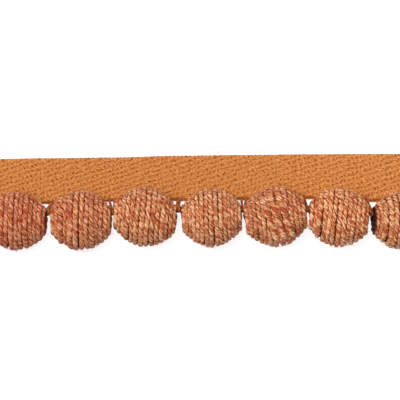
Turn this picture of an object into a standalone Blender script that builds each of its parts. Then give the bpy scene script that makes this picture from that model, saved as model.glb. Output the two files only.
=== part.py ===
"""Jute ball trim: seven beads wound with jute cord, strung on a cord and stitched along a twill tape.

Run with: blender --background --python part.py, or from Blender's text editor.

Metres, +Z up. The trim lies on its back on the plane z = 0. X runs along the tape, +Y points from the
balls to the tape's free edge, and the origin is at the bottom centre of the whole trim's box.
"""

import math

import bmesh
import bpy

MM = 0.001

# Tape
TAPE_THICKNESS = 1.0 * MM
TAPE_CLEAR_OF_BALLS = 5.0 * MM
TAPE_PAST_END_BALL = 2.6 * MM
TAPE_STEPS_PER_BALL = 8

# Wound balls
CORD_DIAMETER = 1.5 * MM
TURNS = 13
END_TURN_ANGLE = math.radians(63)
SHOULDER_POWER = 1.7
TURN_HALF_ANGLE = math.radians(34)
TURN_SWELL = 1.06
TURN_UNEVENNESS = 0.12 * MM
VALLEY_HEIGHT = 0.2
BALL_SIDES = 18
BORE_RADIUS = 2.35 * MM
BORE_SIDES = 16
FLAT_SPOT_DEPTH = 0.2 * MM
FLOOR_CUTTER_SIZE = (150 * MM, 40 * MM, 10 * MM)

# Stringing cord and stitches. A knot's sections are (share of its length from the end ball, share of its
# radius).
GAP = 0.3 * MM
STRING_RADIUS = 0.45 * MM
STRING_STEPS_PER_BALL = 5
KNOT_RADIUS = 0.95 * MM
KNOT_LENGTH = 2.2 * MM
KNOT_SECTIONS = ((1.0, 0.4), (0.85, 0.85), (0.6, 1.0), (0.35, 0.85), (0.2, 0.47))
STITCH_RADIUS_AT_STRING = 0.13 * MM
STITCH_RADIUS_AT_TAPE = 0.3 * MM
STITCH_HALF_WIDTH = 0.9 * MM
STITCH_LOOP_STEPS = 9
STITCH_NECK_SHARE = 0.45

# A stitch's foot on the tape: share of its half width, and millimetres in from the tape's sewn edge and up
# from where it lies.
STITCH_FOOT = ((1.0, 1.6, 0.0), (0.85, 0.9, 0.0), (0.7, 0.3, 0.2))

# One row for each ball. Millimetres and degrees: centre, length along the bore, diameter, lean of the turns
# in the plane of the tape, and pitch of the bore, which lifts the left end.
BALL_COLUMNS = ("x", "y", "length", "diameter", "lean", "pitch")
BALL_ROWS = (
    (-53.95, -5.1, 16.9, 16.9, -1.0, 0.0),
    (-35.95, -5.0, 17.0, 17.2, 0.0, 0.0),
    (-17.8, -4.0, 17.55, 17.0, -4.0, 0.0),
    (0.6, -4.2, 16.75, 16.7, 3.0, 0.0),
    (18.6, -3.9, 17.3, 17.2, 7.0, 0.0),
    (36.2, -4.1, 16.6, 16.9, -5.0, 0.0),
    (54.05, -5.1, 16.2, 16.6, 0.0, 9.0),
)
BALLS = [dict(zip(BALL_COLUMNS, row)) for row in BALL_ROWS]

# One row for each gap between balls, with a row for each cut end. Millimetres: place along the trim, the
# tape's free edge, its sewn edge, and the stringing cord's place across the trim and its height.
GAP_COLUMNS = ("x", "free_edge", "sewn_edge", "string_y", "string_z")
GAP_ROWS = (
    (-63.5, 12.0, -0.1, -3.6, 8.2),
    (-44.95, 12.3, -0.3, -3.55, 8.2),
    (-26.95, 12.5, 0.4, -3.45, 8.2),
    (-8.4, 13.0, 0.55, -2.65, 8.2),
    (9.35, 13.2, 0.8, -2.65, 8.2),
    (27.55, 13.4, 1.1, -2.6, 8.2),
    (45.1, 13.5, 0.3, -3.55, 9.0),
    (63.5, 13.5, 0.1, -3.8, 7.2),
)
GAPS = [dict(zip(GAP_COLUMNS, row)) for row in GAP_ROWS]


def clear_scene():
    """Removes every object that the scene starts with."""
    for obj in list(bpy.data.objects):
        bpy.data.objects.remove(obj, do_unlink=True)


def new_collection(name):
    """A collection of its own, linked to the scene."""
    collection = bpy.data.collections.new(name)
    bpy.context.scene.collection.children.link(collection)
    return collection


def new_material(name, color, roughness):
    """A Principled material with one colour, for yarn and cloth."""
    material = bpy.data.materials.new(name)
    material.use_nodes = True
    shader = material.node_tree.nodes["Principled BSDF"]
    shader.inputs["Base Color"].default_value = (*color, 1.0)
    shader.inputs["Roughness"].default_value = roughness
    shader.inputs["Metallic"].default_value = 0.0
    return material


def add_object(name, data, collection, material=None):
    """An object for this mesh or curve, in this collection."""
    obj = bpy.data.objects.new(name, data)
    collection.objects.link(obj)
    if material is not None:
        data.materials.append(material)
    return obj


def smooth_between(a, b, share):
    """The value at this share of the way from a to b, leaving and arriving level."""
    return a + (b - a) * (1 - math.cos(math.pi * share)) / 2


def along_gaps(column, x):
    """A column of the gap table at any place x along the trim, in metres."""
    place = x / MM
    if place <= GAPS[0]["x"]:
        return GAPS[0][column] * MM
    for left, right in zip(GAPS, GAPS[1:]):
        if place <= right["x"]:
            share = (place - left["x"]) / (right["x"] - left["x"])
            return smooth_between(left[column], right[column], share) * MM
    return GAPS[-1][column] * MM


def sewn_edge(x):
    """The tape's sewn edge at x: pulled down at the gaps by the stitches, higher behind each ball."""
    edge = along_gaps("sewn_edge", x)
    place = x / MM
    for ball, left, right in zip(BALLS, GAPS, GAPS[1:]):
        if left["x"] < place < right["x"]:
            share = (place - left["x"]) / (right["x"] - left["x"])
            behind = (1 - math.cos(2 * math.pi * share)) / 2
            high = max(edge, ball["y"] * MM + TAPE_CLEAR_OF_BALLS)
            return edge + (high - edge) * behind
    return edge


def build_tape(collection, material):
    """The flat twill tape, as a filled outline with its thickness."""
    first = GAPS[0]["x"] * MM - TAPE_PAST_END_BALL
    last = GAPS[-1]["x"] * MM + TAPE_PAST_END_BALL
    steps = TAPE_STEPS_PER_BALL * len(BALLS)
    places = [first + (last - first) * i / steps for i in range(steps + 1)]
    sewn = [(x, sewn_edge(x)) for x in places]
    free = [(x, along_gaps("free_edge", x)) for x in reversed(places[::4])]
    outline = sewn + free

    curve = bpy.data.curves.new("tape", "CURVE")
    curve.dimensions = "2D"
    curve.fill_mode = "BOTH"
    curve.extrude = TAPE_THICKNESS / 2
    spline = curve.splines.new("POLY")
    spline.points.add(len(outline) - 1)
    for point, (x, y) in zip(spline.points, outline):
        point.co = (x, y, 0.0, 1.0)
    spline.use_cyclic_u = True

    tape = add_object("tape", curve, collection, material)
    tape.location.z = TAPE_THICKNESS / 2
    return tape


def turn_centres(number, length, diameter):
    """Each turn's place along the ball, its cord's distance from the axis, and its outward angle.

    The cord's middle lies on a superellipse: a power of 2 would give an ellipse, and a lower one draws the
    ball's shoulders in. The turns lie in equal steps of its angle, so they show narrower towards the ends.
    """
    cord = CORD_DIAMETER / 2
    power = SHOULDER_POWER
    a = (length / 2 - cord) / math.sin(END_TURN_ANGLE)
    b = diameter / 2 - cord
    turns = []
    for i in range(TURNS):
        along = math.sin(END_TURN_ANGLE * (1 - 2 * i / (TURNS - 1)))
        across = (1 - abs(along) ** power) ** (1 / power)
        steepness = math.copysign(abs(along) ** (power - 1) / a, along)
        outward = math.atan2(steepness, across ** (power - 1) / b)
        sunk = TURN_UNEVENNESS * (1 + math.sin(2.3 * i + 1.7 * number)) / 2
        turns.append((a * along, b * across - sunk, outward))
    return turns


def wound_profile(number, length, diameter):
    """The ball's half section, top pole first: two crown points a turn, and a valley between turns."""
    cord = CORD_DIAMETER / 2
    turns = turn_centres(number, length, diameter)
    end = length / 2 - cord / 2
    points = [(0.0, end)]
    points.append((turns[0][1] - cord / 2, end))
    for i, (z, radius, angle) in enumerate(turns):
        if i > 0:
            above = turns[i - 1]
            middle = ((z + above[0]) / 2, (radius + above[1]) / 2)
            lean = (angle + above[2]) / 2
            lift = VALLEY_HEIGHT * cord
            points.append((middle[1] + lift * math.cos(lean), middle[0] + lift * math.sin(lean)))
        for side in (1, -1):
            turned = angle + side * TURN_HALF_ANGLE
            reach = TURN_SWELL * cord
            points.append((radius + reach * math.cos(turned), z + reach * math.sin(turned)))
    points.append((turns[-1][1] - cord / 2, -end))
    points.append((0.0, -end))
    return points


def profile_mesh(name, points):
    """A mesh of edges through these (radius, height) points."""
    mesh = bpy.data.meshes.new(name)
    shape = bmesh.new()
    verts = [shape.verts.new((radius, 0.0, height)) for radius, height in points]
    for upper, lower in zip(verts, verts[1:]):
        shape.edges.new((upper, lower))
    shape.to_mesh(mesh)
    shape.free()
    return mesh


def add_cutter(name, obj, collection):
    """Marks an object as a cutter and files it away."""
    obj.name = name
    obj.hide_render = True
    obj.display_type = "WIRE"
    for owner in list(obj.users_collection):
        owner.objects.unlink(obj)
    collection.objects.link(obj)
    return obj


def add_cut(obj, cutter):
    """Cuts this object by the cutter, with a live modifier."""
    cut = obj.modifiers.new("cut by " + cutter.name, "BOOLEAN")
    cut.operation = "DIFFERENCE"
    cut.solver = "EXACT"
    cut.object = cutter


def ball_centre(ball):
    """The centre of a ball, which rests on its small flat spot."""
    height = ball["diameter"] / 2 * MM - FLAT_SPOT_DEPTH
    return (ball["x"] * MM, ball["y"] * MM, height)


def build_floor_cutter(cutters):
    """The block below z = 0 that gives each ball its flat spot."""
    middle = (0.0, 0.0, -FLOOR_CUTTER_SIZE[2] / 2)
    bpy.ops.mesh.primitive_cube_add(size=1.0, location=middle, scale=FLOOR_CUTTER_SIZE)
    return add_cutter("floor_cutter", bpy.context.object, cutters)


def build_ball(number, ball, collection, cutters, floor_cutter, material):
    """One wound ball: its turned profile, its turns' lean, its bore and its flat spot."""
    name = f"ball_{number}"
    points = wound_profile(number, ball["length"] * MM, ball["diameter"] * MM)
    obj = add_object(name, profile_mesh(name, points), collection, material)
    pitch = math.radians(ball["pitch"])
    obj.location = ball_centre(ball)
    obj.rotation_euler = (0.0, math.pi / 2 + pitch, math.radians(ball["lean"]))

    turned = obj.modifiers.new("turned", "SCREW")
    turned.axis = "Z"
    turned.angle = 2 * math.pi
    turned.steps = BALL_SIDES
    turned.render_steps = BALL_SIDES
    turned.use_merge_vertices = True
    turned.merge_threshold = 0.00001
    turned.use_smooth_shade = True

    bpy.ops.mesh.primitive_cylinder_add(
        vertices=BORE_SIDES,
        radius=BORE_RADIUS,
        depth=2 * ball["length"] * MM,
        location=obj.location,
        rotation=(0.0, math.pi / 2 + pitch, 0.0),
    )
    bore = add_cutter(f"bore_{number}", bpy.context.object, cutters)
    add_cut(obj, bore)
    add_cut(obj, floor_cutter)
    return obj


def string_point(x):
    """The middle of the stringing cord at x, a straight run through each ball's bore."""
    place = x / MM
    for left, right in zip(GAPS, GAPS[1:]):
        if place <= right["x"]:
            break
    share = (place - left["x"]) / (right["x"] - left["x"])
    y = left["string_y"] + (right["string_y"] - left["string_y"]) * share
    z = left["string_z"] + (right["string_z"] - left["string_z"]) * share
    return (x, y * MM, z * MM)


def tube(name, points, radii, collection, material, resolution):
    """A round tube with filled caps through these points, as thick at each as its radius."""
    curve = bpy.data.curves.new(name, "CURVE")
    curve.dimensions = "3D"
    curve.bevel_depth = 1.0 * MM
    curve.bevel_resolution = resolution
    curve.use_fill_caps = True
    spline = curve.splines.new("POLY")
    spline.points.add(len(points) - 1)
    for point, place, radius in zip(spline.points, points, radii):
        point.co = (*place, 1.0)
        point.radius = radius / MM
    return add_object(name, curve, collection, material)


def build_string(collection, material):
    """The stringing cord with a small knot past each end ball."""
    first = GAPS[0]["x"] * MM
    last = GAPS[-1]["x"] * MM
    steps = STRING_STEPS_PER_BALL * len(BALLS)
    places = []
    radii = []
    clear = GAP + STITCH_RADIUS_AT_STRING + GAP
    for share, width in KNOT_SECTIONS:
        places.append(first - clear - KNOT_LENGTH * share)
        radii.append(KNOT_RADIUS * width)
    for i in range(steps + 1):
        places.append(first + (last - first) * i / steps)
        radii.append(STRING_RADIUS)
    for share, width in reversed(KNOT_SECTIONS):
        places.append(last + clear + KNOT_LENGTH * share)
        radii.append(KNOT_RADIUS * width)
    points = [string_point(x) for x in places]
    return tube("string", points, radii, collection, material, 1)


def stitch_neck(at_string, lift_y, lift_z):
    """The point of a stitch's leg where it has left the narrow space between two balls."""
    x, y, z, radius = at_string
    share = STITCH_NECK_SHARE
    return (x, y + (lift_y - y) * share, z + (lift_z - z) * share, radius)


def build_stitch(number, gap, collection, material):
    """One stitch: from the tape's face over its sewn edge, round the stringing cord, and back."""
    x = gap["x"] * MM
    _, string_y, string_z = string_point(x)
    loop = STRING_RADIUS + GAP + STITCH_RADIUS_AT_STRING
    lie = TAPE_THICKNESS + GAP + STITCH_RADIUS_AT_TAPE
    edge_y = sewn_edge(x)
    foot = []
    for spread, inward, rise in STITCH_FOOT:
        foot.append((spread * STITCH_HALF_WIDTH, edge_y + inward * MM, lie + rise * MM))
    _, lift_y, lift_z = foot[-1]

    away_y, away_z = lift_y - string_y, lift_z - string_z
    towards = math.atan2(away_z, away_y)
    tangent = math.acos(loop / math.hypot(away_y, away_z))
    start = towards + tangent
    sweep = 2 * math.pi - 2 * tangent

    round_string = []
    for i in range(STITCH_LOOP_STEPS + 1):
        angle = start + sweep * i / STITCH_LOOP_STEPS
        y = string_y + loop * math.cos(angle)
        z = string_z + loop * math.sin(angle)
        round_string.append((x, y, z, STITCH_RADIUS_AT_STRING))

    path = [(x - dx, y, z, STITCH_RADIUS_AT_TAPE) for dx, y, z in foot]
    path.append(stitch_neck(round_string[0], lift_y, lift_z))
    path += round_string
    path.append(stitch_neck(round_string[-1], lift_y, lift_z))
    path += [(x + dx, y, z, STITCH_RADIUS_AT_TAPE) for dx, y, z in reversed(foot)]

    points = [place[:3] for place in path]
    radii = [place[3] for place in path]
    return tube(f"stitch_{number}", points, radii, collection, material, 1)


def main():
    """Builds the whole trim."""
    clear_scene()
    trim = new_collection("jute_ball_trim")
    cutters = new_collection("cutters")
    tape_cotton = new_material("tape_cotton", (0.62, 0.21, 0.058), 0.9)
    jute = new_material("jute", (0.50, 0.19, 0.085), 0.85)
    cord_brown = new_material("cord_brown", (0.12, 0.035, 0.015), 0.85)
    thread_tan = new_material("thread_tan", (0.55, 0.27, 0.12), 0.8)

    build_tape(trim, tape_cotton)
    floor_cutter = build_floor_cutter(cutters)
    for number, ball in enumerate(BALLS, start=1):
        build_ball(number, ball, trim, cutters, floor_cutter, jute)
    build_string(trim, cord_brown)
    for number, gap in enumerate(GAPS, start=1):
        build_stitch(number, gap, trim, thread_tan)


main()
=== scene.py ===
"""Looks of a length of ball trim: beads wound with jute cord, hung by stitches along a twill tape.

Metres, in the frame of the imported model. X runs along the tape, +Y points from the balls to the tape's free
edge, and +Z points up, out of the surface that the trim lies on.
"""

import logging
import math
import random
from collections.abc import Sequence
from dataclasses import dataclass
from enum import Enum

import bpy
import numpy as np
from mathutils import Euler, Matrix, Vector, noise


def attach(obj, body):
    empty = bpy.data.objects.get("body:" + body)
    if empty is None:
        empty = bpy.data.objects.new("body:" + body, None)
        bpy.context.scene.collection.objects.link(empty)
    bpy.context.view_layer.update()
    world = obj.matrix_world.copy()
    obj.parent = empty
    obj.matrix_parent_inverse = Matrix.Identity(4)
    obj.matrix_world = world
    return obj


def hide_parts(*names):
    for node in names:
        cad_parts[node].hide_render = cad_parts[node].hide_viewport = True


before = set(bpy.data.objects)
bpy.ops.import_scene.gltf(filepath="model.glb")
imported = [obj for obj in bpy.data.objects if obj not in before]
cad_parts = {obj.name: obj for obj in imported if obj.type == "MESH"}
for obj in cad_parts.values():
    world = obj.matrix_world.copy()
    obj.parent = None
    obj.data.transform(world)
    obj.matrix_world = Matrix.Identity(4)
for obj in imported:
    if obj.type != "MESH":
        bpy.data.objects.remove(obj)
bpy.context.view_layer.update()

MM = 0.001
BODY = "root"
YARN_PLACE = "yarn_place"
CLOTH_PLACE = "cloth_place"
RELIEF = "relief"
TONE = "tone"

MERGE = 0.001 * MM
FIBRE_TAPER = 0.6
WHITE = (1.0, 1.0, 1.0, 1.0)

Colour = tuple[float, float, float]
Feed = bpy.types.NodeSocket | float | Sequence[float]
Outputs = Sequence[bpy.types.NodeSocket]

log = logging.getLogger("trim")


class Slot(Enum):
    """The record's material slots."""

    TAPE = "tape_cotton"
    JUTE = "jute"
    CORD = "cord_brown"
    THREAD = "thread_tan"


class Hand(Enum):
    """Which way a yarn's plies are twisted, as the sign of their turn along it."""

    S = -1
    Z = 1


# Working with Blender


def deselect_all() -> None:
    """Leaves Object Mode on and nothing selected."""
    if bpy.context.object and bpy.context.object.mode != "OBJECT":
        bpy.ops.object.mode_set(mode="OBJECT")
    bpy.ops.object.select_all(action="DESELECT")


def pick_up(obj: bpy.types.Object) -> None:
    """Makes this the only selected object, and the active one.

    Args:
        obj: the object.
    """
    deselect_all()
    obj.select_set(True)
    bpy.context.view_layer.objects.active = obj


def make_mesh(curve: bpy.types.Object) -> bpy.types.Mesh:
    """Turns a curve object into a mesh without UV maps.

    Args:
        curve: the curve object, which keeps its name.

    Returns:
        Its new mesh.
    """
    pick_up(curve)
    bpy.ops.object.convert(target="MESH")
    mesh = curve.data
    while mesh.uv_layers:
        mesh.uv_layers.remove(mesh.uv_layers[0])
    return mesh


def close_and_face_out(obj: bpy.types.Object) -> None:
    """Fills the open ends of a mesh, and turns its faces outwards.

    Args:
        obj: the mesh object.
    """
    pick_up(obj)
    bpy.ops.object.mode_set(mode="EDIT")
    bpy.ops.mesh.select_all(action="SELECT")
    bpy.ops.mesh.fill_holes(sides=0)
    bpy.ops.mesh.select_all(action="SELECT")
    bpy.ops.mesh.normals_make_consistent(inside=False)
    bpy.ops.object.mode_set(mode="OBJECT")
    bpy.ops.object.shade_smooth()


def corners(mesh: bpy.types.Mesh) -> np.ndarray:
    """Reads the places of a mesh's vertices.

    Args:
        mesh: the mesh.

    Returns:
        One row of three for each vertex.
    """
    places = np.empty(len(mesh.vertices) * 3)
    mesh.vertices.foreach_get("co", places)
    return places.reshape(-1, 3)


def move_corners(mesh: bpy.types.Mesh, places: np.ndarray) -> None:
    """Puts a mesh's vertices at these places."""
    mesh.vertices.foreach_set("co", places.reshape(-1))
    mesh.update()


def keep_on_mesh(mesh: bpy.types.Mesh, name: str, values: np.ndarray) -> None:
    """Stores a number or a vector for each vertex, which a material can read.

    Args:
        mesh: the mesh.
        name: the attribute's name.
        values: one number, or one row of three, for each vertex.
    """
    kind, key = ("FLOAT_VECTOR", "vector") if values.ndim == 2 else ("FLOAT", "value")
    layer = mesh.attributes.new(name=name, type=kind, domain="POINT")
    layer.data.foreach_set(key, values.astype(np.float32).reshape(-1))


def keep_as_yarn(mesh: bpy.types.Mesh, places: np.ndarray, relief: np.ndarray | float, tone: float) -> None:
    """Stores what a yarn's material reads.

    Args:
        mesh: the mesh.
        places: each vertex's place along the yarn and across it, in millimetres.
        relief: how far each vertex lies out of the grooves, from 0 to 1, which the material turns into
            painted shade where it is low.
        tone: how light the yarn's colour is, as a factor.
    """
    count = len(mesh.vertices)
    keep_on_mesh(mesh, YARN_PLACE, places)
    keep_on_mesh(mesh, RELIEF, relief * np.ones(count))
    keep_on_mesh(mesh, TONE, np.full(count, tone))


def add_object(name: str, data: bpy.types.ID) -> bpy.types.Object:
    """Adds an object to the scene.

    Args:
        name: its name.
        data: its curve, camera or light.

    Returns:
        The object.
    """
    obj = bpy.data.objects.new(name, data)
    bpy.context.scene.collection.objects.link(obj)
    return obj


def add_lines(name: str, routes: Sequence[Sequence[Vector]], closed: bool = False) -> bpy.types.Object:
    """Adds a curve object with one line of straight steps for each route.

    Args:
        name: the object's name.
        routes: each line's points, in metres.
        closed: whether each line's last point joins its first.

    Returns:
        The curve object.
    """
    curve = bpy.data.curves.new(name, "CURVE")
    curve.dimensions = "3D"
    for route in routes:
        spline = curve.splines.new("POLY")
        spline.points.add(len(route) - 1)
        for point, place in zip(spline.points, route):
            point.co = (*place, 1.0)
        spline.use_cyclic_u = closed
    return add_object(name, curve)


def dress(
    obj: bpy.types.Object,
    material: bpy.types.Material,
    replaced: Sequence[str] = (),
) -> bpy.types.Object:
    """Gives a finished piece its material and body, and reports it.

    Args:
        obj: the finished piece.
        material: its only material.
        replaced: the CAD nodes that it stands for.

    Returns:
        The same piece.
    """
    obj.data.materials.clear()
    obj.data.materials.append(material)
    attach(obj, BODY)
    if replaced:
        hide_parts(*replaced)
    triangles = sum(len(face.vertices) - 2 for face in obj.data.polygons)
    log.info("%s: %d triangles", obj.name, triangles)
    return obj


def smooth_between(a: float, b: float, share: float) -> float:
    """Returns the value at this share of the way from a to b, leaving and arriving level."""
    return a + (b - a) * (1 - math.cos(math.pi * share)) / 2


# Node groups and materials


class NodeBench:
    """Adds nodes to one node tree and wires them up."""

    def __init__(self, tree: bpy.types.NodeTree) -> None:
        """Starts work on this node tree."""
        self.tree = tree

    def add(self, kind: str, inputs: dict | None = None, **settings: object) -> bpy.types.Node:
        """Adds a node.

        Args:
            kind: the node's type name.
            inputs: values or sockets for its inputs, by name or number.
            settings: its other properties.

        Returns:
            The new node.
        """
        made = self.tree.nodes.new(kind)
        for name, value in settings.items():
            setattr(made, name, value)
        self.feed(made, inputs or {})
        return made

    def feed(self, node: bpy.types.Node, inputs: dict) -> None:
        """Gives a node's inputs their values, or joins them to other nodes.

        Args:
            node: the node.
            inputs: values or sockets for its inputs, by name or number.
        """
        for name, value in inputs.items():
            if isinstance(value, bpy.types.NodeSocket):
                self.tree.links.new(value, node.inputs[name])
            else:
                node.inputs[name].default_value = value

    def maths(self, operation: str, *values: Feed) -> bpy.types.NodeSocket:
        """Returns the result of a Math node on these values or sockets."""
        return self.add("ShaderNodeMath", dict(enumerate(values)), operation=operation).outputs[0]

    def vector_maths(self, operation: str, *values: Feed) -> Outputs:
        """Returns the results of a Vector Math node on these vectors or sockets."""
        return self.add("ShaderNodeVectorMath", dict(enumerate(values)), operation=operation).outputs

    def ramp(
        self, value: Feed, low: float, high: float, start: float = 0.0, end: float = 1.0
    ) -> bpy.types.NodeSocket:
        """Changes smoothly from one number to another while a value rises.

        Args:
            value: the value.
            low: where on it the change begins.
            high: where on it the change ends.
            start: the result before the change.
            end: the result after the change.

        Returns:
            The result.
        """
        inputs = {0: value, 1: low, 2: high, 3: start, 4: end}
        made = self.add("ShaderNodeMapRange", inputs, interpolation_type="SMOOTHSTEP")
        return made.outputs[0]

    def mix(self, factor: Feed, first: Feed, second: Feed, blend: str = "MIX") -> bpy.types.NodeSocket:
        """Returns the colour that lies between two, or the first blended with the second."""
        inputs = {0: factor, 6: first, 7: second}
        return self.add("ShaderNodeMix", inputs, data_type="RGBA", blend_type=blend).outputs[2]

    def times(self, colour: Feed, red: Feed, green: Feed, blue: Feed) -> bpy.types.NodeSocket:
        """Returns a colour with its red, green and blue multiplied by these."""
        factors = self.add("ShaderNodeCombineColor", {0: red, 1: green, 2: blue}).outputs[0]
        return self.mix(1.0, colour, factors, "MULTIPLY")

    def split(self, vector: Feed) -> Outputs:
        """Returns the three parts of a vector or a colour."""
        return self.add("ShaderNodeSeparateXYZ", {0: vector}).outputs

    def join(self, *parts: Feed) -> bpy.types.NodeSocket:
        """Returns the vector of these parts."""
        return self.add("ShaderNodeCombineXYZ", dict(enumerate(parts))).outputs[0]

    def kept(self, name: str) -> Outputs:
        """Returns what the mesh keeps under this name."""
        return self.add("ShaderNodeAttribute", None, attribute_name=name).outputs

    def group(self, shared: bpy.types.NodeTree, inputs: dict) -> Outputs:
        """Returns the results of a shared node group with these inputs."""
        return self.add("ShaderNodeGroup", inputs, node_tree=shared).outputs


@dataclass(frozen=True, kw_only=True)
class Wear:
    """How a surface takes the light. The bump is the height of its finest relief, in metres."""

    roughness: float = 0.85
    specular: float = 0.1
    bump: float = 0.08 * MM


class MaterialBench(NodeBench):
    """Builds one material round its Principled shader."""

    def __init__(self, name: str) -> None:
        """Starts the material.

        Args:
            name: the material's name.
        """
        self.material = bpy.data.materials.new(name)
        self.material.use_nodes = True
        super().__init__(self.material.node_tree)
        self.shader = self.tree.nodes["Principled BSDF"]

    def finish(self, colour: Feed, height: Feed, wear: Wear) -> bpy.types.Material:
        """Feeds the shader.

        Args:
            colour: the surface's colour.
            height: its fine relief, which only the light shows.
            wear: how rough, how shiny and how deep in relief it is.

        Returns:
            The finished material.
        """
        depth = {"Strength": 1.0, "Distance": wear.bump, "Height": height}
        bumped = self.add("ShaderNodeBump", depth).outputs[0]
        self.feed(self.shader, {"Base Color": colour, "Normal": bumped})
        self.feed(self.shader, {"Roughness": wear.roughness, "Specular IOR Level": wear.specular})
        return self.material


def rgba(colour: Colour) -> tuple[float, float, float, float]:
    """Returns a colour with full alpha."""
    return (*colour, 1.0)


class SharedEffects:
    """The node groups that more than one material uses, built once."""

    def __init__(self) -> None:
        """Builds the groups."""
        self.streaks = self._fibre_streaks()
        self.yarn = self._yarn_shade()

    @staticmethod
    def _new(name: str, inputs: dict[str, str], outputs: dict[str, str]) -> bpy.types.NodeTree:
        """Starts a group with these named sockets.

        Args:
            name: the group's name.
            inputs: each input's name and socket type.
            outputs: each output's name and socket type.

        Returns:
            The empty group.
        """
        tree = bpy.data.node_groups.new(name, "ShaderNodeTree")
        for way, sockets in (("INPUT", inputs), ("OUTPUT", outputs)):
            for label, kind in sockets.items():
                tree.interface.new_socket(label, in_out=way, socket_type=kind)
        return tree

    def _fibre_streaks(self) -> bpy.types.NodeTree:
        """Builds fine streaks that run along X of the place that they are given, in millimetres.

        Returns:
            The group, whose streaks go from 0 to 1.
        """
        tree = self._new(
            "fibre streaks",
            {"Place": "NodeSocketVector", "Length": "NodeSocketFloat", "Width": "NodeSocketFloat"},
            {"Streaks": "NodeSocketFloat"},
        )
        bench = NodeBench(tree)
        given = bench.add("NodeGroupInput").outputs
        along = bench.maths("DIVIDE", 1.0, given["Length"])
        across = bench.maths("DIVIDE", 1.0, given["Width"])
        place = bench.vector_maths("MULTIPLY", given["Place"], bench.join(along, across, across))[0]
        grain = bench.add("ShaderNodeTexNoise", {"Vector": place, "Scale": 1.0, "Detail": 2.0})
        bench.add("NodeGroupOutput", {"Streaks": bench.ramp(grain.outputs[0], 0.32, 0.68)})
        return tree

    def _yarn_shade(self) -> bpy.types.NodeTree:
        """Builds the look of a plied yarn: fibres along it, in fine and broad streaks, and painted shade in
        its grooves.

        Returns:
            The group, with the yarn's colour and the height of its fibres and plies.
        """
        tree = self._new(
            "yarn shade",
            {
                "Place": "NodeSocketVector",
                "Relief": "NodeSocketFloat",
                "Dark": "NodeSocketColor",
                "Mid": "NodeSocketColor",
                "Light": "NodeSocketColor",
                "Fibre": "NodeSocketFloat",
                "Drift": "NodeSocketFloat",
            },
            {"Colour": "NodeSocketColor", "Height": "NodeSocketFloat"},
        )
        bench = NodeBench(tree)
        given = bench.add("NodeGroupInput").outputs
        place, fibre, drift = given["Place"], given["Fibre"], given["Drift"]
        length = bench.maths("MULTIPLY", fibre, 14.0)
        fine = bench.group(self.streaks, {"Place": place, "Length": length, "Width": fibre})[0]
        spread = bench.maths("MULTIPLY", drift, 0.25)
        broad = bench.group(self.streaks, {"Place": place, "Length": drift, "Width": spread})[0]
        blend = bench.maths("ADD", bench.maths("MULTIPLY", fine, 0.5), bench.maths("MULTIPLY", broad, 0.5))
        lower = bench.mix(bench.ramp(blend, 0.1, 0.5), given["Dark"], given["Mid"])
        upper = bench.mix(bench.ramp(blend, 0.45, 0.8), lower, given["Light"])
        # Painted shade: where the relief is low, in the grooves between the plies and down the sides of wound
        # turns, the colour goes to the dark one.
        off_groove = bench.ramp(given["Relief"], 0.0, 0.7)
        shaded = bench.mix(off_groove, given["Dark"], upper)
        height = bench.maths("ADD", bench.maths("MULTIPLY", fine, 0.6), off_groove)
        bench.add("NodeGroupOutput", {"Colour": shaded, "Height": height})
        return tree


@dataclass(frozen=True)
class YarnFinish:
    """A twisted yarn's colours, linear, and the scale of its fibres, in millimetres."""

    name: str
    dark: Colour
    mid: Colour
    light: Colour
    fibre: float
    drift: float
    wear: Wear = Wear()

    def material(self, shared: SharedEffects) -> bpy.types.Material:
        """Builds the material, which reads the yarn's own places, relief and tone.

        Where the tone is low, the colour is redder too.

        Args:
            shared: the shared node groups.

        Returns:
            The finished material.
        """
        bench = MaterialBench(self.name)
        tone = bench.kept(TONE)["Fac"]
        shade = bench.group(
            shared.yarn,
            {
                "Place": bench.kept(YARN_PLACE)["Vector"],
                "Relief": bench.kept(RELIEF)["Fac"],
                "Dark": rgba(self.dark),
                "Mid": rgba(self.mid),
                "Light": rgba(self.light),
                "Fibre": self.fibre,
                "Drift": self.drift,
            },
        )
        redder = bench.maths("MULTIPLY", tone, bench.ramp(tone, 0.8, 1.0, 0.7, 1.0))
        colour = bench.times(shade["Colour"], tone, redder, redder)
        return bench.finish(colour, shade["Height"], self.wear)


@dataclass(frozen=True)
class Weave:
    """A warp-faced twill: its thread spacing and the holes between its threads, in millimetres."""

    pick: float = 1.15
    end: float = 0.35
    ends: int = 36
    ends_per_repeat: int = 4
    hole_length: float = 0.34
    hole_height: float = 0.32
    hole_slant: float = 0.6
    hole_stray: float = 0.25
    hole_shade_strengths: tuple[float, float] = (0.35, 0.88)
    seam_end: float = 1.0
    seam_ends: float = 1.4

    @property
    def width(self) -> float:
        """The cloth's width across its ends."""
        return self.end * self.ends


TWILL_WEAVE = Weave()


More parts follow.
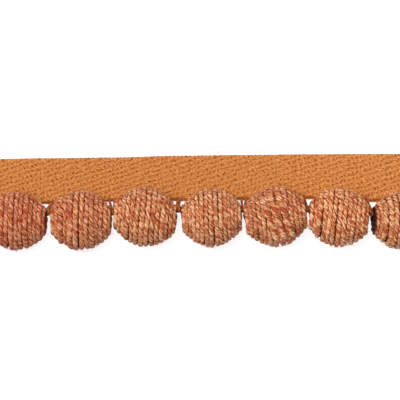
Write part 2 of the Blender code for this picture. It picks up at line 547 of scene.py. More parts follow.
@dataclass(frozen=True)
class TwillFinish:
    """The dyed cotton of the tape: its colours, linear, on the floats and, as painted shade, down between
    them.

    The colour is a little darker towards the tape's left end, by the fade's factor, and comes back between
    its picks. The seam's share says how dark the line along the sewn edge is.
    """

    name: str
    deep: Colour
    mid: Colour
    high: Colour
    fade: float = 0.92
    fade_picks: tuple[float, float] = (45.0, 100.0)
    seam_share: float = 0.8
    wear: Wear = Wear(bump=0.05 * MM)

    @staticmethod
    def holes(bench: NodeBench, threads: bpy.types.NodeSocket, weave: Weave) -> bpy.types.NodeSocket:
        """Adds painted shade in the holes where the twill's floats meet, each of its own strength.

        Args:
            bench: the material's nodes.
            threads: the place in the cloth, counted in picks and in ends.
            weave: the cloth's weave.

        Returns:
            The painted shade's strength, from 0 to 1.
        """
        u, v, _ = bench.split(threads)
        pick = bench.maths("ROUND", u)
        along = bench.maths("MULTIPLY", bench.maths("SUBTRACT", u, pick), weave.pick)
        repeat = bench.maths("DIVIDE", bench.maths("SUBTRACT", v, pick), weave.ends_per_repeat)
        row = bench.maths("ROUND", repeat)
        height = weave.end * weave.ends_per_repeat
        across = bench.maths("MULTIPLY", bench.maths("SUBTRACT", repeat, row), height)
        chance = bench.add("ShaderNodeTexWhiteNoise", {"Vector": bench.join(pick, row)}).outputs["Color"]
        left_right, up_down, open_shut = bench.split(chance)
        stray = bench.ramp(left_right, 0.0, 1.0, -weave.hole_stray, weave.hole_stray)
        strayed = bench.maths("ADD", along, stray)
        slant = bench.ramp(up_down, 0.0, 1.0, -weave.hole_slant, weave.hole_slant * 2)
        straight = bench.maths("SUBTRACT", across, bench.maths("MULTIPLY", strayed, slant))
        off = bench.join(
            bench.maths("DIVIDE", strayed, weave.hole_length),
            bench.maths("DIVIDE", straight, weave.hole_height),
        )
        far = bench.vector_maths("LENGTH", off)["Value"]
        strength = bench.ramp(open_shut, 0.0, 1.0, *weave.hole_shade_strengths)
        return bench.maths("MULTIPLY", bench.ramp(far, 0.3, 1.5, 1.0, 0.0), strength)

    @staticmethod
    def seam(bench: NodeBench, threads: bpy.types.NodeSocket, weave: Weave) -> bpy.types.NodeSocket:
        """Adds the dark line just inside the sewn edge.

        Args:
            bench: the material's nodes.
            threads: the place in the cloth, counted in picks and in ends.
            weave: the cloth's weave.

        Returns:
            The line's strength, from 0 to 1.
        """
        _, v, _ = bench.split(threads)
        off = bench.maths("ABSOLUTE", bench.maths("SUBTRACT", v, weave.seam_end))
        return bench.ramp(off, 0.3, weave.seam_ends, 1.0, 0.0)

    def material(self, shared: SharedEffects, weave: Weave) -> bpy.types.Material:
        """Builds the material, which reads the cloth's own threads and relief, and paints shade where they
        are low.

        Args:
            shared: the shared node groups.
            weave: the cloth's weave.

        Returns:
            The finished material.
        """
        bench = MaterialBench(self.name)
        threads = bench.kept(CLOTH_PLACE)["Vector"]
        relief = bench.kept(RELIEF)["Fac"]
        place = bench.vector_maths("MULTIPLY", threads, (weave.pick, weave.end, 1.0))[0]
        fine = bench.group(shared.streaks, {"Place": place, "Length": 0.4, "Width": 0.22})[0]
        yarns = bench.group(shared.streaks, {"Place": place, "Length": 0.7, "Width": 0.28})[0]
        hole = self.holes(bench, threads, weave)
        seam = bench.maths("MULTIPLY", self.seam(bench, threads, weave), self.seam_share)
        shown = bench.maths("SUBTRACT", 1.0, bench.maths("MAXIMUM", hole, seam))
        # Painted shade: the weave's low parts and its holes take the deep colour, and the line along the sewn
        # edge takes it too.
        unshaded_part = bench.maths("MULTIPLY", bench.ramp(relief, 0.1, 0.6), shown)
        lower = bench.mix(unshaded_part, rgba(self.deep), rgba(self.mid))
        speckle = bench.ramp(bench.maths("ADD", fine, yarns), 0.3, 1.7)
        raised = bench.mix(bench.maths("MULTIPLY", speckle, unshaded_part), lower, rgba(self.high))
        left_darkening = bench.ramp(bench.split(threads)[0], *self.fade_picks, self.fade, 1.0)
        colour = bench.times(raised, left_darkening, left_darkening, left_darkening)
        height = bench.maths("ADD", bench.maths("ADD", fine, relief), bench.maths("MULTIPLY", hole, -1.5))
        return bench.finish(colour, height, self.wear)


# The jute's dark colour, deep red, is also painted shade: it fills the grooves and the sides of the turns,
# with the redness of light bounced between fibres.
JUTE_WEAR = Wear(roughness=0.6, specular=0.22)
JUTE = YarnFinish(
    "jute cord", (0.22, 0.026, 0.004), (0.48, 0.1, 0.023), (0.82, 0.53, 0.28), 0.11, 2.6, JUTE_WEAR
)
# The jute under the turns is far darker than the jute on top: painted shade under the turns and through the
# gaps between them.
SHADED_JUTE_UNDER = YarnFinish(
    "jute under the turns", (0.06, 0.012, 0.004), (0.12, 0.025, 0.008), (0.18, 0.04, 0.013), 0.15, 3.0
)
STRING = YarnFinish(
    "stringing cord", (0.02, 0.005, 0.003), (0.07, 0.018, 0.008), (0.16, 0.045, 0.02), 0.08, 3.0
)
THREAD = YarnFinish(
    "sewing thread", (0.12, 0.022, 0.006), (0.38, 0.085, 0.024), (0.6, 0.2, 0.07), 0.06, 2.5
)
TWILL = TwillFinish("cotton twill", (0.2, 0.04, 0.006), (0.345, 0.096, 0.019), (0.63, 0.262, 0.079))


# Yarns


@dataclass(frozen=True)
class PliedYarn:
    """A yarn of round plies twisted together."""

    diameter: float
    lay: float
    plies: int = 2
    hand: Hand = Hand.S
    steps_per_lay: int = 12
    sides_per_ply: int = 5
    ply_share: float = 0.62
    uneven_lay: float = 0.45
    fibre_turn: float = 0.4

    @property
    def step(self) -> float:
        """The distance between the sections along the yarn."""
        return self.lay / self.steps_per_lay

    def section(self) -> list[Vector]:
        """Draws the yarn's cross-section, the outline of its plies pressed together.

        Returns:
            The outline's points, round the yarn's middle.
        """
        ply = self.ply_share * self.diameter / 2
        off = self.diameter / 2 - ply
        apart = math.pi / self.plies
        groove = off * math.cos(apart) + math.sqrt(ply**2 - (off * math.sin(apart)) ** 2)
        meeting = math.atan2(groove * math.sin(apart), groove * math.cos(apart) - off)
        outline = []
        for number in range(self.plies):
            way = math.tau * number / self.plies
            middle = Vector((math.cos(way), math.sin(way), 0)) * off
            for k in range(self.sides_per_ply):
                turned = way + meeting * (2 * k / self.sides_per_ply - 1)
                outline.append(middle + Vector((math.cos(turned), math.sin(turned), 0)) * ply)
        return outline

    def lay_along(
        self, name: str, route: Sequence[Vector], swell: Sequence[float] | None = None, tone: float = 1.0
    ) -> bpy.types.Object:
        """Lays the yarn along a route, as one closed mesh.

        Args:
            name: the piece's name.
            route: points one step apart.
            swell: the yarn's thickness at each point, as a share of its own.
            tone: how light its colour is, as a factor.

        Returns:
            The mesh object, with each vertex's place along the yarn and across it, in millimetres.
        """
        section = self.section()
        outline = add_lines("yarn section", [section], closed=True)
        yarn = add_lines(name, [route])
        yarn.data.twist_mode = "MINIMUM"
        yarn.data.bevel_mode = "OBJECT"
        yarn.data.bevel_object = outline
        turn = self.hand.value * math.tau / self.steps_per_lay
        turns = [0.0]
        for i, point in enumerate(yarn.data.splines[0].points):
            point.tilt = math.fmod(turns[-1], math.tau)
            point.radius = swell[i] if swell is not None else 1.0
            uneven = self.uneven_lay * noise.noise(Vector((i * 0.021, tone * 17, 4.0)))
            turns.append(turns[-1] + turn * (1 + uneven))
        mesh = make_mesh(yarn)
        bpy.data.objects.remove(outline, do_unlink=True)

        along = np.repeat(np.arange(len(route)) * self.step, len(section))
        across = np.tile([complex(p.x, p.y) for p in section], len(route))
        turned = across * np.exp(1j * (1 - self.fibre_turn) * np.repeat(turns[:-1], len(section)))
        # The relief is lowest in the grooves between the plies, where the material paints shade.
        outward = np.abs(across)
        relief = (outward - outward.min()) / (outward.max() - outward.min())
        keep_as_yarn(mesh, np.column_stack([along, turned.real, turned.imag]) / MM, relief, tone)
        close_and_face_out(yarn)
        return yarn


def even_steps(points: Sequence[Vector], step: float, cuts: int = 24) -> list[Vector]:
    """Resamples a route at even steps along a smooth curve through its points.

    Args:
        points: the route's points.
        step: the distance wanted between the new points.
        cuts: how many short lines stand for the curve between two of the route's points.

    Returns:
        The new points.
    """
    dense = []
    padded = [points[0] * 2 - points[1], *points, points[-1] * 2 - points[-2]]
    for a, b, c, d in zip(padded, padded[1:], padded[2:], padded[3:]):
        square = 2 * a - 5 * b + 4 * c - d
        cube = 3 * b - a - 3 * c + d
        for share in np.linspace(0, 1, cuts, endpoint=False):
            t = float(share)
            dense.append(0.5 * (2 * b + (c - a) * t + square * t**2 + cube * t**3))
    dense.append(points[-1].copy())
    lengths = [0.0]
    for p, q in zip(dense, dense[1:]):
        lengths.append(lengths[-1] + (q - p).length)
    count = max(2, round(lengths[-1] / step))
    wanted = np.linspace(0, lengths[-1], count + 1)
    table = np.array([tuple(p) for p in dense])
    resampled = np.column_stack([np.interp(wanted, lengths, table[:, k]) for k in range(3)])
    return [Vector(row) for row in resampled]


def bundle(name: str, routes: Sequence[Sequence[Vector]], radius: float, tone: float) -> bpy.types.Object:
    """Builds many thin loose fibres as one closed mesh, each thinner towards its ends.

    Args:
        name: the piece's name.
        routes: each fibre's points.
        radius: the fibres' greatest radius.
        tone: how light their colour is, as a factor.

    Returns:
        The mesh object, with the same attributes as a yarn.
    """
    obj = add_lines(name, routes)
    obj.data.bevel_depth = radius
    obj.data.bevel_resolution = 0
    obj.data.use_fill_caps = True
    for spline in obj.data.splines:
        for share, point in zip(np.linspace(0, 1, len(spline.points)), spline.points):
            point.radius = 1 - FIBRE_TAPER * abs(2 * float(share) - 1)
    mesh = make_mesh(obj)
    keep_as_yarn(mesh, corners(mesh) / MM, 1.0, tone)
    close_and_face_out(obj)
    return obj


JUTE_CORD = PliedYarn(1.5 * MM, 5.6 * MM, plies=3, steps_per_lay=20, ply_share=0.56)
STRING_YARN = PliedYarn(1.0 * MM, 1.9 * MM, steps_per_lay=10)
STITCH_YARN = PliedYarn(0.8 * MM, 1.7 * MM, sides_per_ply=4, steps_per_lay=8)


# Wound balls


@dataclass(frozen=True)
class Ball:
    """One bead with its wound cord. Millimetres and degrees, but for the number of turns and the tone.

    The lean turns the ball's right end towards the tape, and the pitch tips that end down. The over wraps lie
    slanted over the turns, and cross the ball's top at these places along it. The end shade depth is how far
    in the ball's left end, and its bore, are darkened as painted shade. The fibres are the loose ones that
    stand off the turns.
    """

    number: int
    x: float
    y: float
    length: float
    diameter: float
    lean: float
    pitch: float
    turns: float
    tone: float

    over_wraps: tuple[float, ...] = ()
    end_shade_depth: float = 0.0
    fibres: int = 80

    CORD = 1.5
    PACKING = 1.04
    END_ANGLE = math.radians(63)
    SHOULDER_POWER = 1.75
    END_SWELL = 0.25
    FLAT_SPOT = 0.2
    OUTLINE_POINTS = 200

    TUCK_TURNS = 0.3
    TUCK_RADIUS = 1.9
    TUCK_DEPTH = 2.4
    TUCK_EASE = 1.5
    HELIX_LEAN = 2.4
    MARKS_PER_TURN = 60
    UNEVEN_TURNS = 0.4
    UNEVEN_SPUN = 0.1
    STRAY_ALONG = (0.2, 0.3)
    STRAY_OUT = 0.25

    BORE_RADIUS = 2.35
    UNDER_DEPTH = 0.4
    UNDER_SIDES = 32
    UNDER_RINGS = 20
    BORE_EDGE = math.radians(40)

    # Painted shade down the cord's sides, where the next turn lies: the relief fades out between these lifts,
    # and the grooves between plies keep this share of their relief.
    SIDE_SHADE = (-0.4, 0.43)
    GROOVE_RELIEF = 0.35
    # Painted shade at a shaded left end and inside its bore: its tone falls to this, over this fade, within
    # this radius of the axis.
    END_SHADE_TONE = 0.1
    END_SHADE_FADE = 0.3
    BORE_SHADE_RADIUS = 3.3

    WRAP_REACH = math.radians(72)
    WRAP_POINTS = 25
    WRAP_SLANT = 0.25
    WRAP_LIFT = 0.7
    WRAP_TUCK = 1.9
    WRAP_SWELL = 1.15
    WRAP_TONE = 1.02

    FIBRE_RADIUS = 0.05
    FIBRE_LIFT = 0.45
    FIBRE_SINK = 0.2
    FIBRE_REACH = (1.2, 3.2)
    FIBRE_POINTS = 5

    @property
    def name(self) -> str:
        """The ball's CAD node."""
        return f"ball_{self.number}"

    @property
    def half_length(self) -> float:
        """The half length, along the bore, of the full round shape that the cord's middle lies on."""
        return ((self.length - self.CORD) / 2 + self.END_SWELL) / math.sin(self.END_ANGLE)

    @property
    def half_width(self) -> float:
        """The greatest distance of the cord's middle from the ball's axis."""
        return (self.diameter - self.CORD) / 2

    def standing(self, lean: float) -> Matrix:
        """Says where a shape that is built round Z goes.

        Args:
            lean: how far its axis leans, in degrees.

        Returns:
            Its turn and place.
        """
        centre = Vector((self.x, self.y, self.diameter / 2 - self.FLAT_SPOT)) * MM
        turned = Euler((0, math.pi / 2 + math.radians(self.pitch), math.radians(lean)))
        return Matrix.Translation(centre) @ turned.to_matrix().to_4x4()

    def shoulder(self, along: np.ndarray) -> np.ndarray:
        """Returns the ball's width, as a share of its greatest, at shares of its half length."""
        return (1 - np.abs(along) ** self.SHOULDER_POWER) ** (1 / self.SHOULDER_POWER)

    def outline(self) -> tuple[np.ndarray, np.ndarray, np.ndarray]:
        """Draws the line that the cord's middle keeps to, from the ball's left end to its right.

        Returns:
            Distances along the line, with the places along the ball and the distances from its axis.
        """
        reach = np.sin(np.linspace(-self.END_ANGLE, self.END_ANGLE, self.OUTLINE_POINTS))
        z, radius = self.half_length * reach, self.half_width * self.shoulder(reach)
        arcs = np.concatenate([[0], np.cumsum(np.hypot(np.diff(z), np.diff(radius)))])
        return arcs, z, radius

    def wobble(self, turned: float, turn: float) -> tuple[float, float]:
        """Lets the cord stray from its line, most on the side away from the tape.

        Args:
            turned: the angle round the ball's axis.
            turn: the number of the turn.

        Returns:
            How far it strays along the ball and outwards, in millimetres.
        """
        place = Vector((math.cos(turned) * 0.8, math.sin(turned) * 0.8, turn * 0.9))
        along = noise.noise(place + Vector((self.number * 9.1, 0, 0)))
        out = noise.noise(place + Vector((0, self.number * 7.7, 31.0)))
        lower = 0.5 - 0.5 * math.sin(turned)
        return along * (self.STRAY_ALONG[0] + self.STRAY_ALONG[1] * lower), out * self.STRAY_OUT

    def thickness_at(self, turn: float) -> float:
        """Returns how thick the cord is at this turn, as a share of its own thickness."""
        place = Vector((turn * 0.83, self.number * 5.3, 0.0))
        return 1 + self.UNEVEN_TURNS * noise.noise(place) + self.UNEVEN_SPUN * noise.noise(place * 9)

    def route(self) -> tuple[list[Vector], list[float]]:
        """Lays the cord from inside the bore's left end to its right.

        Returns:
            Points one step apart along the cord, and its thickness at each as a share of its own.
        """
        frame_of_turns = self.standing(self.lean - self.HELIX_LEAN)
        total = self.turns + 2 * self.TUCK_TURNS
        marks = np.linspace(0, self.turns, self.MARKS_PER_TURN * round(self.turns))
        widths = np.array([self.thickness_at(float(mark)) for mark in marks])
        arcs, places_along, radii = self.outline()
        reached = np.concatenate([[0], np.cumsum(widths[1:] + widths[:-1])])
        reached *= arcs[-1] / reached[-1]
        fill = self.PACKING * arcs[-1] / (self.turns * self.CORD * widths.mean())
        points = []
        swell = []
        turn = 0.0
        while turn < total:
            wound = min(max(turn - self.TUCK_TURNS, 0.0), self.turns)
            arc = float(np.interp(wound, marks, reached))
            turned = math.tau * turn - math.pi / 2
            along, out = self.wobble(turned, turn)
            at_end = math.sqrt(max(math.sin(math.pi * arc / arcs[-1]), 0.0))
            z = float(np.interp(arc, arcs, places_along)) + along * at_end
            radius = float(np.interp(arc, arcs, radii)) + out - (fill - 1) * self.CORD / 2
            tucked = max(self.TUCK_TURNS - turn, turn - total + self.TUCK_TURNS, 0.0) / self.TUCK_TURNS
            z -= math.copysign(self.TUCK_DEPTH, z) * tucked**self.TUCK_EASE
            radius = smooth_between(radius, self.TUCK_RADIUS, tucked)
            place = Vector((radius * math.cos(turned), radius * math.sin(turned), z)) * MM
            points.append(frame_of_turns @ place)
            swell.append(self.thickness_at(wound) * fill)
            turn += JUTE_CORD.step / MM / radius / math.tau
        return points, swell

    def on_front(self, z: float, turned: float, lift: float) -> Vector:
        """Finds a place over the turns, before the ball is stood in its place.

        Args:
            z: how far along the ball it is.
            turned: how far from the ball's top it is, towards the balls' side.
            lift: how far out from the cord's middle it is.

        Returns:
            The place, in metres.
        """
        _, places_along, radii = self.outline()
        radius = float(np.interp(z, places_along, radii)) + lift
        return Vector((-radius * math.cos(turned), -radius * math.sin(turned), z)) * MM

    def build_over_wrap(self, number: int, z: float, material: bpy.types.Material) -> bpy.types.Object:
        """Builds one slanted wrap that lies over the turns, with its ends tucked under them.

        Args:
            number: the wrap's number on this ball.
            z: where it crosses the ball's top, along the ball.
            material: the cord's material.

        Returns:
            The finished piece.
        """
        points = []
        for turned in np.linspace(-self.WRAP_REACH, self.WRAP_REACH, self.WRAP_POINTS):
            slanted = z + self.WRAP_SLANT * self.half_width * math.sin(float(turned))
            tucked = (abs(float(turned)) / self.WRAP_REACH) ** 6
            points.append(self.on_front(slanted, float(turned), self.WRAP_LIFT - self.WRAP_TUCK * tucked))
        frame_of_turns = self.standing(self.lean)
        route = even_steps([frame_of_turns @ point for point in points], JUTE_CORD.step)
        swell = [self.WRAP_SWELL] * len(route)
        name = f"{self.name}_over_wrap_{number}"
        cord = JUTE_CORD.lay_along(name, route, swell, self.tone * self.WRAP_TONE)
        self.shade(cord.data, route, corners(cord.data))
        return dress(cord, material)

    def build_fibres(self, material: bpy.types.Material) -> bpy.types.Object:
        """Builds the loose jute fibres that stand a little off the turns, as one mesh.

        Args:
            material: the cord's material.

        Returns:
            The finished piece.
        """
        chance = random.Random(self.number)
        frame_of_turns = self.standing(self.lean)
        hairs = []
        for _ in range(self.fibres):
            z = chance.uniform(-0.8, 0.8) * self.half_length
            turned = chance.uniform(-1.5, 1.5)
            way = chance.gauss(0, 0.6)
            reach = chance.uniform(*self.FIBRE_REACH)
            lift = chance.uniform(0.4, 1.0) * self.FIBRE_LIFT
            hair = []
            for share in np.linspace(0, 1, self.FIBRE_POINTS):
                gone = reach * float(share)
                here = z + gone * math.sin(way + float(share))
                round_ball = turned + gone * math.cos(way + float(share)) / self.half_width
                height = self.CORD / 2 - self.FIBRE_SINK + lift * math.sin(2.2 * float(share))
                hair.append(frame_of_turns @ self.on_front(here, round_ball, height))
            hairs.append(hair)
        fibres = bundle(f"{self.name}_fibres", hairs, self.FIBRE_RADIUS * MM, self.tone)
        return dress(fibres, material)

    def build_winding(self, material: bpy.types.Material) -> bpy.types.Object:
        """Builds the wound cord as one long yarn, pressed flat where the ball rests.

        Args:
            material: the cord's material.

        Returns:
            The finished piece.
        """
        route, swell = self.route()
        cord = JUTE_CORD.lay_along(f"{self.name}_winding", route, swell, self.tone)
        places = corners(cord.data)
        self.shade(cord.data, route, places)
        places[:, 2] = np.maximum(places[:, 2], 0.0)
        move_corners(cord.data, places)
        return dress(cord, material, [self.name])

    def shade(self, mesh: bpy.types.Mesh, route: Sequence[Vector], places: np.ndarray) -> None:
        """Paints shade: lowers the cord's relief down its sides, where the next turn lies, which the material
        darkens, and darkens a shaded end.

        Args:
            mesh: the cord's mesh.
            route: the cord's middle.
            places: the mesh's vertices, ring after ring along the route.
        """
        frame_of_turns = self.standing(self.lean)
        middle = np.repeat(np.array([tuple(point) for point in route]), len(places) // len(route), axis=0)
        centre = np.array(tuple(frame_of_turns.translation))
        stretch = np.array([self.half_width / self.half_length, 1.0, 1.0])
        outward = (middle - centre) * stretch**2
        outward /= np.linalg.norm(outward, axis=1)[:, None]
        lift = np.einsum("ij,ij->i", places - middle, outward) / (JUTE_CORD.diameter / 2)
        relief = np.empty(len(places))
        mesh.attributes[RELIEF].data.foreach_get("value", relief)
        low, high = self.SIDE_SHADE
        up = np.clip((lift - low) / (high - low), 0, 1)
        raised = self.GROOVE_RELIEF + (1 - self.GROOVE_RELIEF) * relief
        mesh.attributes[RELIEF].data.foreach_set("value", raised * up)
        # Painted shade: the left end, where it meets the ball beside it, and the bore inside it are darkened.
        if self.end_shade_depth:
            axis = np.array(tuple(frame_of_turns.to_3x3() @ Vector((0, 0, 1))))
            along = (places - centre) @ axis / MM
            off_axis = np.linalg.norm((places - centre) / MM - along[:, None] * axis, axis=1)
            depth = along + self.length / 2 - self.end_shade_depth
            depth[(off_axis < self.BORE_SHADE_RADIUS) & (along < 0)] = 0.0
            dark = self.END_SHADE_TONE + (1 - self.END_SHADE_TONE) * np.clip(depth / self.END_SHADE_FADE, 0, 1)
            mesh.attributes[TONE].data.foreach_set("value", self.tone * dark)

    def build_under(self, material: bpy.types.Material) -> bpy.types.Object:
        """Builds the bead's wound surface under the turns, with its bore, in a darker jute that paints the
        shade under the turns.

        Args:
            material: the dark cord's material.

        Returns:
            The finished piece.
        """
        long = self.half_length - self.UNDER_DEPTH
        wide = self.half_width - self.UNDER_DEPTH
        end = long * float(self.shoulder(np.array(self.BORE_RADIUS / wide)))
        deselect_all()
        bpy.ops.mesh.primitive_uv_sphere_add(
            segments=self.UNDER_SIDES, ring_count=self.UNDER_RINGS, radius=1.0
        )
        under = bpy.context.object
        under.name = f"{self.name}_under_turns"
        ball = corners(under.data)
        round_share = np.maximum(np.hypot(ball[:, 0], ball[:, 1]), 1e-6)
        ball[:, :2] *= (self.shoulder(np.clip(ball[:, 2], -1, 1)) / round_share)[:, None]
        move_corners(under.data, ball)
        bpy.ops.object.mode_set(mode="EDIT")
        bpy.ops.mesh.select_all(action="SELECT")
        bpy.ops.transform.resize(value=(wide * MM, wide * MM, long * MM))
        for side in (1, -1):
            bpy.ops.mesh.select_all(action="SELECT")
            bpy.ops.mesh.bisect(
                plane_co=(0, 0, side * end * MM), plane_no=(0, 0, side), clear_outer=True
            )
        bpy.ops.mesh.select_all(action="DESELECT")
        bpy.ops.mesh.select_mode(type="EDGE")
        bpy.ops.mesh.select_non_manifold(
            extend=False, use_wire=False, use_boundary=True, use_multi_face=False, use_non_contiguous=False
        )
        bpy.ops.mesh.bridge_edge_loops()
        bpy.ops.mesh.select_mode(type="VERT")
        bpy.ops.mesh.select_all(action="SELECT")
        bpy.ops.mesh.remove_doubles(threshold=MERGE)
        bpy.ops.mesh.normals_make_consistent(inside=False)
        bpy.ops.object.mode_set(mode="OBJECT")
        bpy.ops.object.shade_smooth_by_angle(angle=self.BORE_EDGE)
        place = corners(under.data) / MM
        around = np.arctan2(place[:, 1], place[:, 0]) * wide
        keep_as_yarn(under.data, np.column_stack([around, place[:, 2], place[:, 0]]), 1.0, 1.0)
        under.matrix_world = self.standing(0)
        pick_up(under)
        bpy.ops.object.transform_apply(location=True, rotation=True, scale=True)
        return dress(under, material)

    def build(self, jute: bpy.types.Material, under: bpy.types.Material) -> None:
        """Builds the whole ball.

        Args:
            jute: the cord's material.
            under: the material of the surface under it, a darker jute as painted shade.
        """
        self.build_under(under)
        self.build_winding(jute)
        for number, z in enumerate(self.over_wraps, start=1):
            self.build_over_wrap(number, z, jute)
        self.build_fibres(jute)


BALLS = (
    Ball(1, -53.95, -5.1, 16.9, 16.9, -1.0, 0.0, 13, 0.88),
    Ball(2, -35.85, -5.0, 17.2, 17.2, 0.0, 0.0, 13, 0.92),
    Ball(3, -17.9, -4.0, 17.75, 17.0, -4.0, 0.0, 14, 0.98),
    Ball(4, 0.7, -4.2, 16.95, 16.7, 3.0, 0.0, 15, 1.02, fibres=130),
    Ball(5, 18.55, -3.9, 17.5, 17.2, 7.0, 0.0, 13, 0.95, (-2.0, 0.3, 2.6), fibres=110),
    Ball(6, 36.35, -4.1, 16.9, 16.9, -5.0, 0.0, 13, 1.08),
    Ball(7, 53.9, -5.1, 16.5, 16.6, 0.0, 9.0, 13, 1.02, end_shade_depth=0.35),
)


# Gaps between the balls: the tape's edges, the stringing cord and the stitches


@dataclass(frozen=True)
class Gap:
    """One gap between balls, or a cut end. Millimetres along and across the trim.

    The stitch leaves the tape this far along from the gap's middle, its legs this far on each side. They meet
    this far along from the gap's middle, at this place across the trim.
    """

    x: float
    free_edge: float
    sewn_edge: float
    string_y: float
    string_z: float
    stitch_off: float = 0.0
    stitch_spread: float = 0.4
    meet_off: float = 0.0
    meet_y: float = -1.9


GAPS = (
    Gap(-63.5, 12.0, -0.1, -3.6, 8.2),
    Gap(-44.95, 12.3, -0.3, -3.55, 8.2, 0.75, 0.2, -0.25),
    Gap(-26.95, 12.5, 0.4, -3.45, 8.2, -0.5, 0.75, 0.1),
    Gap(-8.4, 13.0, 0.55, -2.65, 8.2, -0.17, 0.3, -0.3, -1.6),
    Gap(9.35, 13.2, 0.8, -2.65, 8.2, 0.45, 0.65, 0.3, -1.7),
    Gap(27.55, 13.4, 1.1, -2.6, 8.2, -0.8, 0.2, -0.3, -1.6),
    Gap(45.1, 13.5, 0.3, -3.55, 9.0, -0.6, 0.2, 0.0, -2.1),
    Gap(63.5, 13.5, 0.1, -3.8, 7.2),
)


def between_gaps(x: float) -> tuple[Gap, Gap, float]:
    """Finds the two gaps that a place lies between.

    Args:
        x: the place along the trim, in millimetres.

    Returns:
        The gap to its left, the gap to its right, and the share of the way from one to the other.
    """
    for left, right in zip(GAPS, GAPS[1:]):
        if x <= right.x:
            break
    return left, right, min(max((x - left.x) / (right.x - left.x), 0.0), 1.0)


